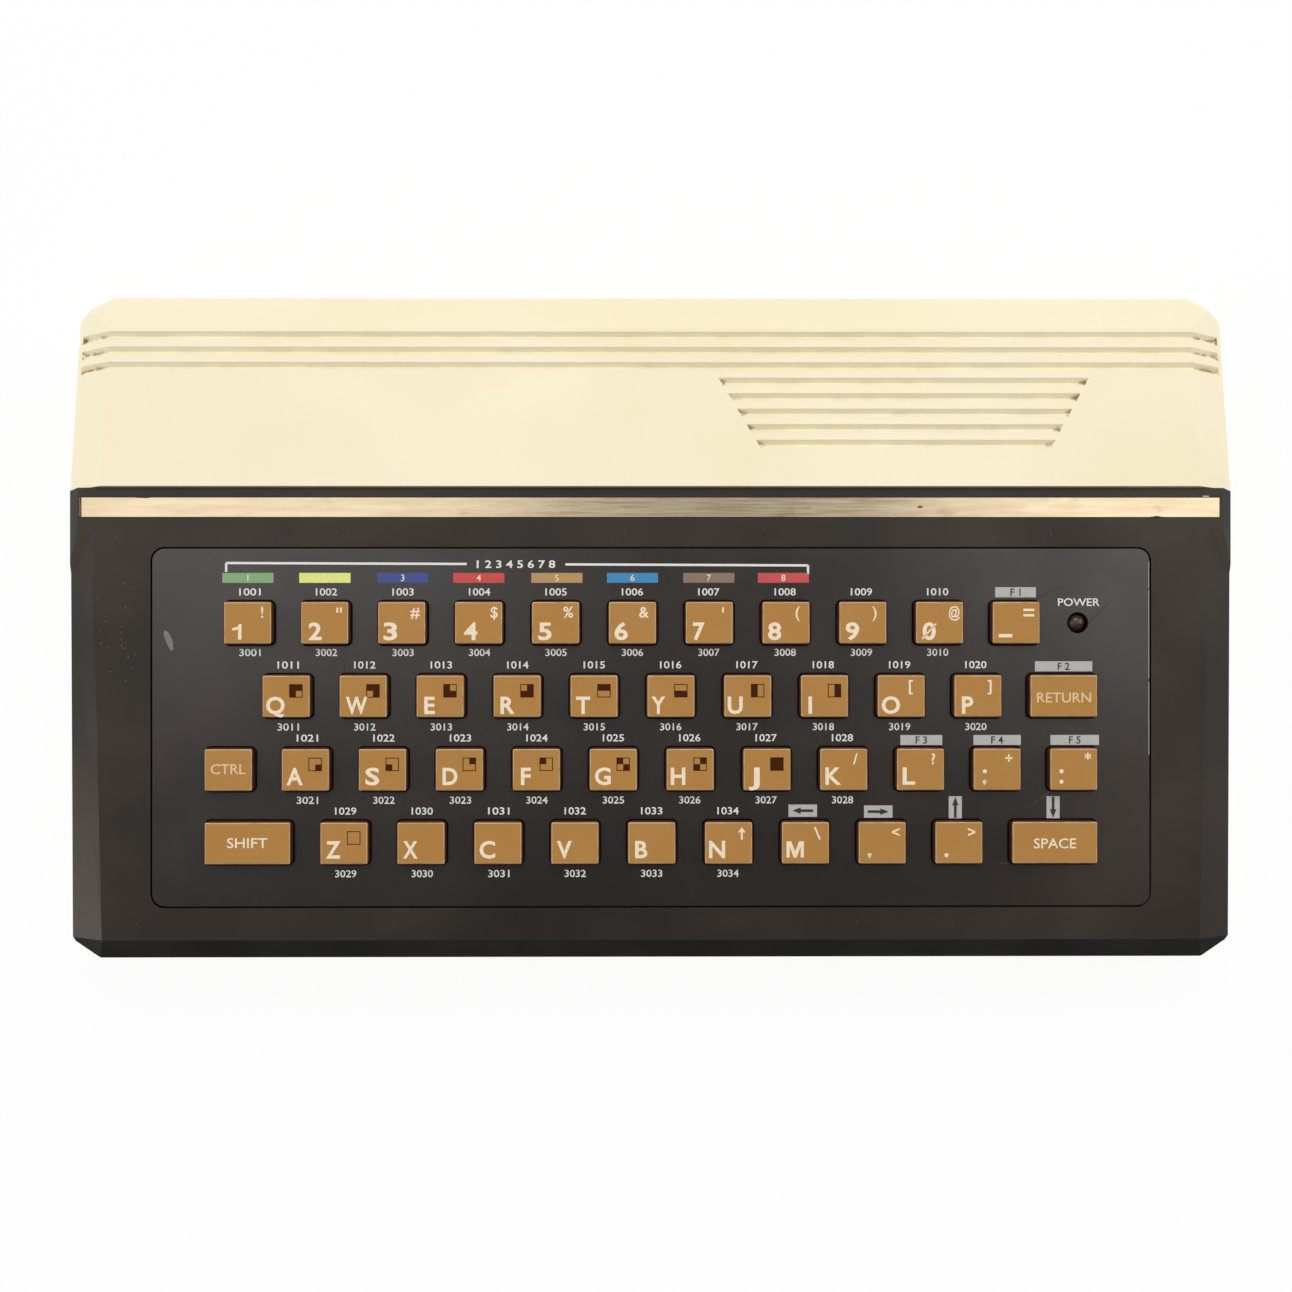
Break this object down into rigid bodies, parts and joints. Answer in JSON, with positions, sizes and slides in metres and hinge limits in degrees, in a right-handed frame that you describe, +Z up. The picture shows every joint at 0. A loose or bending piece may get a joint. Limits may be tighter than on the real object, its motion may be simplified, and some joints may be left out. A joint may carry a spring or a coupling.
{
  "type": "home computer",
  "caption": "Wedge-shaped home computer with a sloping deck of rubber keys that press, a grooved rear cover, a metal trim strip, rear sockets and a sliding power switch.",
  "frame": {"origin": "on the table under the middle of the whole object, socket barrels included", "axes": "+X to the user's right, +Y towards the rear sockets, +Z up"},
  "size_m": [0.291, 0.1738, 0.0468],
  "materials": {
    "cream_plastic": "fine moulded texture, slightly yellowed",
    "dark_plastic": "fine textured dark brown",
    "panel_plastic": "satin dark brown with printed legends",
    "gold_trim": "gold anodised, brushed along its length",
    "key_rubber": "smooth moulded rubber, printed legends",
    "mat_rubber": "plain grey rubber",
    "circuit_board": "green solder mask",
    "component_plastic": "moulded black packages",
    "socket_metal": "plated barrels",
    "switch_plastic": "moulded black",
    "lamp_lens": "dark red-brown moulded lens",
    "foot_rubber": "plain black rubber",
    "screw_steel": "zinc plated"
  },
  "bodies": {
    "case": {"lower_shell": "cream_plastic", "keyboard_housing": "dark_plastic", "rear_cover": "cream_plastic", "trim_strip": "gold_trim", "keyboard_panel": "panel_plastic", "key_mat": "mat_rubber", "keyboard_board": "circuit_board", "main_board": "circuit_board", "board_components": "component_plastic", "board_sockets": "socket_metal", "power_lamp": "lamp_lens", "feet": "foot_rubber", "screws": "screw_steel", "expansion_covers": "cream_plastic"},
    "power_switch": {"switch_knob": "switch_plastic"},
    "key_1": {"key_1": "key_rubber"},
    "key_2": {"key_2": "key_rubber"},
    "key_3": {"key_3": "key_rubber"},
    "key_4": {"key_4": "key_rubber"},
    "key_5": {"key_5": "key_rubber"},
    "key_6": {"key_6": "key_rubber"},
    "key_7": {"key_7": "key_rubber"},
    "key_8": {"key_8": "key_rubber"},
    "key_9": {"key_9": "key_rubber"},
    "key_0": {"key_0": "key_rubber"},
    "key_minus": {"key_minus": "key_rubber"},
    "key_q": {"key_q": "key_rubber"},
    "key_w": {"key_w": "key_rubber"},
    "key_e": {"key_e": "key_rubber"},
    "key_r": {"key_r": "key_rubber"},
    "key_t": {"key_t": "key_rubber"},
    "key_y": {"key_y": "key_rubber"},
    "key_u": {"key_u": "key_rubber"},
    "key_i": {"key_i": "key_rubber"},
    "key_o": {"key_o": "key_rubber"},
    "key_p": {"key_p": "key_rubber"},
    "key_ctrl": {"key_ctrl": "key_rubber"},
    "key_a": {"key_a": "key_rubber"},
    "key_s": {"key_s": "key_rubber"},
    "key_d": {"key_d": "key_rubber"},
    "key_f": {"key_f": "key_rubber"},
    "key_g": {"key_g": "key_rubber"},
    "key_h": {"key_h": "key_rubber"},
    "key_j": {"key_j": "key_rubber"},
    "key_k": {"key_k": "key_rubber"},
    "key_l": {"key_l": "key_rubber"},
    "key_semicolon": {"key_semicolon": "key_rubber"},
    "key_colon": {"key_colon": "key_rubber"},
    "key_z": {"key_z": "key_rubber"},
    "key_x": {"key_x": "key_rubber"},
    "key_c": {"key_c": "key_rubber"},
    "key_v": {"key_v": "key_rubber"},
    "key_b": {"key_b": "key_rubber"},
    "key_n": {"key_n": "key_rubber"},
    "key_m": {"key_m": "key_rubber"},
    "key_comma": {"key_comma": "key_rubber"},
    "key_period": {"key_period": "key_rubber"},
    "key_return": {"key_return": "key_rubber"},
    "key_shift": {"key_shift": "key_rubber"},
    "key_space": {"key_space": "key_rubber"}
  },
  "joints": [
    {"name": "power_slide", "type": "slide", "parent": "case", "child": "power_switch", "axis": [0, 1, 0], "range_m": [-0.004, 0]},
    {"name": "press_1", "type": "slide", "parent": "case", "child": "key_1", "axis": [0, 0.165, -0.9863], "range_m": [0, 0.0015], "stiffness_N_per_m": 300, "springref_m": -0.001},
    {"name": "press_2", "type": "slide", "parent": "case", "child": "key_2", "axis": [0, 0.165, -0.9863], "range_m": [0, 0.0015], "stiffness_N_per_m": 300, "springref_m": -0.001},
    {"name": "press_3", "type": "slide", "parent": "case", "child": "key_3", "axis": [0, 0.165, -0.9863], "range_m": [0, 0.0015], "stiffness_N_per_m": 300, "springref_m": -0.001},
    {"name": "press_4", "type": "slide", "parent": "case", "child": "key_4", "axis": [0, 0.165, -0.9863], "range_m": [0, 0.0015], "stiffness_N_per_m": 300, "springref_m": -0.001},
    {"name": "press_5", "type": "slide", "parent": "case", "child": "key_5", "axis": [0, 0.165, -0.9863], "range_m": [0, 0.0015], "stiffness_N_per_m": 300, "springref_m": -0.001},
    {"name": "press_6", "type": "slide", "parent": "case", "child": "key_6", "axis": [0, 0.165, -0.9863], "range_m": [0, 0.0015], "stiffness_N_per_m": 300, "springref_m": -0.001},
    {"name": "press_7", "type": "slide", "parent": "case", "child": "key_7", "axis": [0, 0.165, -0.9863], "range_m": [0, 0.0015], "stiffness_N_per_m": 300, "springref_m": -0.001},
    {"name": "press_8", "type": "slide", "parent": "case", "child": "key_8", "axis": [0, 0.165, -0.9863], "range_m": [0, 0.0015], "stiffness_N_per_m": 300, "springref_m": -0.001},
    {"name": "press_9", "type": "slide", "parent": "case", "child": "key_9", "axis": [0, 0.165, -0.9863], "range_m": [0, 0.0015], "stiffness_N_per_m": 300, "springref_m": -0.001},
    {"name": "press_0", "type": "slide", "parent": "case", "child": "key_0", "axis": [0, 0.165, -0.9863], "range_m": [0, 0.0015], "stiffness_N_per_m": 300, "springref_m": -0.001},
    {"name": "press_minus", "type": "slide", "parent": "case", "child": "key_minus", "axis": [0, 0.165, -0.9863], "range_m": [0, 0.0015], "stiffness_N_per_m": 300, "springref_m": -0.001},
    {"name": "press_q", "type": "slide", "parent": "case", "child": "key_q", "axis": [0, 0.165, -0.9863], "range_m": [0, 0.0015], "stiffness_N_per_m": 300, "springref_m": -0.001},
    {"name": "press_w", "type": "slide", "parent": "case", "child": "key_w", "axis": [0, 0.165, -0.9863], "range_m": [0, 0.0015], "stiffness_N_per_m": 300, "springref_m": -0.001},
    {"name": "press_e", "type": "slide", "parent": "case", "child": "key_e", "axis": [0, 0.165, -0.9863], "range_m": [0, 0.0015], "stiffness_N_per_m": 300, "springref_m": -0.001},
    {"name": "press_r", "type": "slide", "parent": "case", "child": "key_r", "axis": [0, 0.165, -0.9863], "range_m": [0, 0.0015], "stiffness_N_per_m": 300, "springref_m": -0.001},
    {"name": "press_t", "type": "slide", "parent": "case", "child": "key_t", "axis": [0, 0.165, -0.9863], "range_m": [0, 0.0015], "stiffness_N_per_m": 300, "springref_m": -0.001},
    {"name": "press_y", "type": "slide", "parent": "case", "child": "key_y", "axis": [0, 0.165, -0.9863], "range_m": [0, 0.0015], "stiffness_N_per_m": 300, "springref_m": -0.001},
    {"name": "press_u", "type": "slide", "parent": "case", "child": "key_u", "axis": [0, 0.165, -0.9863], "range_m": [0, 0.0015], "stiffness_N_per_m": 300, "springref_m": -0.001},
    {"name": "press_i", "type": "slide", "parent": "case", "child": "key_i", "axis": [0, 0.165, -0.9863], "range_m": [0, 0.0015], "stiffness_N_per_m": 300, "springref_m": -0.001},
    {"name": "press_o", "type": "slide", "parent": "case", "child": "key_o", "axis": [0, 0.165, -0.9863], "range_m": [0, 0.0015], "stiffness_N_per_m": 300, "springref_m": -0.001},
    {"name": "press_p", "type": "slide", "parent": "case", "child": "key_p", "axis": [0, 0.165, -0.9863], "range_m": [0, 0.0015], "stiffness_N_per_m": 300, "springref_m": -0.001},
    {"name": "press_ctrl", "type": "slide", "parent": "case", "child": "key_ctrl", "axis": [0, 0.165, -0.9863], "range_m": [0, 0.0015], "stiffness_N_per_m": 300, "springref_m": -0.001},
    {"name": "press_a", "type": "slide", "parent": "case", "child": "key_a", "axis": [0, 0.165, -0.9863], "range_m": [0, 0.0015], "stiffness_N_per_m": 300, "springref_m": -0.001},
    {"name": "press_s", "type": "slide", "parent": "case", "child": "key_s", "axis": [0, 0.165, -0.9863], "range_m": [0, 0.0015], "stiffness_N_per_m": 300, "springref_m": -0.001},
    {"name": "press_d", "type": "slide", "parent": "case", "child": "key_d", "axis": [0, 0.165, -0.9863], "range_m": [0, 0.0015], "stiffness_N_per_m": 300, "springref_m": -0.001},
    {"name": "press_f", "type": "slide", "parent": "case", "child": "key_f", "axis": [0, 0.165, -0.9863], "range_m": [0, 0.0015], "stiffness_N_per_m": 300, "springref_m": -0.001},
    {"name": "press_g", "type": "slide", "parent": "case", "child": "key_g", "axis": [0, 0.165, -0.9863], "range_m": [0, 0.0015], "stiffness_N_per_m": 300, "springref_m": -0.001},
    {"name": "press_h", "type": "slide", "parent": "case", "child": "key_h", "axis": [0, 0.165, -0.9863], "range_m": [0, 0.0015], "stiffness_N_per_m": 300, "springref_m": -0.001},
    {"name": "press_j", "type": "slide", "parent": "case", "child": "key_j", "axis": [0, 0.165, -0.9863], "range_m": [0, 0.0015], "stiffness_N_per_m": 300, "springref_m": -0.001},
    {"name": "press_k", "type": "slide", "parent": "case", "child": "key_k", "axis": [0, 0.165, -0.9863], "range_m": [0, 0.0015], "stiffness_N_per_m": 300, "springref_m": -0.001},
    {"name": "press_l", "type": "slide", "parent": "case", "child": "key_l", "axis": [0, 0.165, -0.9863], "range_m": [0, 0.0015], "stiffness_N_per_m": 300, "springref_m": -0.001},
    {"name": "press_semicolon", "type": "slide", "parent": "case", "child": "key_semicolon", "axis": [0, 0.165, -0.9863], "range_m": [0, 0.0015], "stiffness_N_per_m": 300, "springref_m": -0.001},
    {"name": "press_colon", "type": "slide", "parent": "case", "child": "key_colon", "axis": [0, 0.165, -0.9863], "range_m": [0, 0.0015], "stiffness_N_per_m": 300, "springref_m": -0.001},
    {"name": "press_z", "type": "slide", "parent": "case", "child": "key_z", "axis": [0, 0.165, -0.9863], "range_m": [0, 0.0015], "stiffness_N_per_m": 300, "springref_m": -0.001},
    {"name": "press_x", "type": "slide", "parent": "case", "child": "key_x", "axis": [0, 0.165, -0.9863], "range_m": [0, 0.0015], "stiffness_N_per_m": 300, "springref_m": -0.001},
    {"name": "press_c", "type": "slide", "parent": "case", "child": "key_c", "axis": [0, 0.165, -0.9863], "range_m": [0, 0.0015], "stiffness_N_per_m": 300, "springref_m": -0.001},
    {"name": "press_v", "type": "slide", "parent": "case", "child": "key_v", "axis": [0, 0.165, -0.9863], "range_m": [0, 0.0015], "stiffness_N_per_m": 300, "springref_m": -0.001},
    {"name": "press_b", "type": "slide", "parent": "case", "child": "key_b", "axis": [0, 0.165, -0.9863], "range_m": [0, 0.0015], "stiffness_N_per_m": 300, "springref_m": -0.001},
    {"name": "press_n", "type": "slide", "parent": "case", "child": "key_n", "axis": [0, 0.165, -0.9863], "range_m": [0, 0.0015], "stiffness_N_per_m": 300, "springref_m": -0.001},
    {"name": "press_m", "type": "slide", "parent": "case", "child": "key_m", "axis": [0, 0.165, -0.9863], "range_m": [0, 0.0015], "stiffness_N_per_m": 300, "springref_m": -0.001},
    {"name": "press_comma", "type": "slide", "parent": "case", "child": "key_comma", "axis": [0, 0.165, -0.9863], "range_m": [0, 0.0015], "stiffness_N_per_m": 300, "springref_m": -0.001},
    {"name": "press_period", "type": "slide", "parent": "case", "child": "key_period", "axis": [0, 0.165, -0.9863], "range_m": [0, 0.0015], "stiffness_N_per_m": 300, "springref_m": -0.001},
    {"name": "press_return", "type": "slide", "parent": "case", "child": "key_return", "axis": [0, 0.165, -0.9863], "range_m": [0, 0.0015], "stiffness_N_per_m": 300, "springref_m": -0.001},
    {"name": "press_shift", "type": "slide", "parent": "case", "child": "key_shift", "axis": [0, 0.165, -0.9863], "range_m": [0, 0.0015], "stiffness_N_per_m": 300, "springref_m": -0.001},
    {"name": "press_space", "type": "slide", "parent": "case", "child": "key_space", "axis": [0, 0.165, -0.9863], "range_m": [0, 0.0015], "stiffness_N_per_m": 300, "springref_m": -0.001}
  ]
}
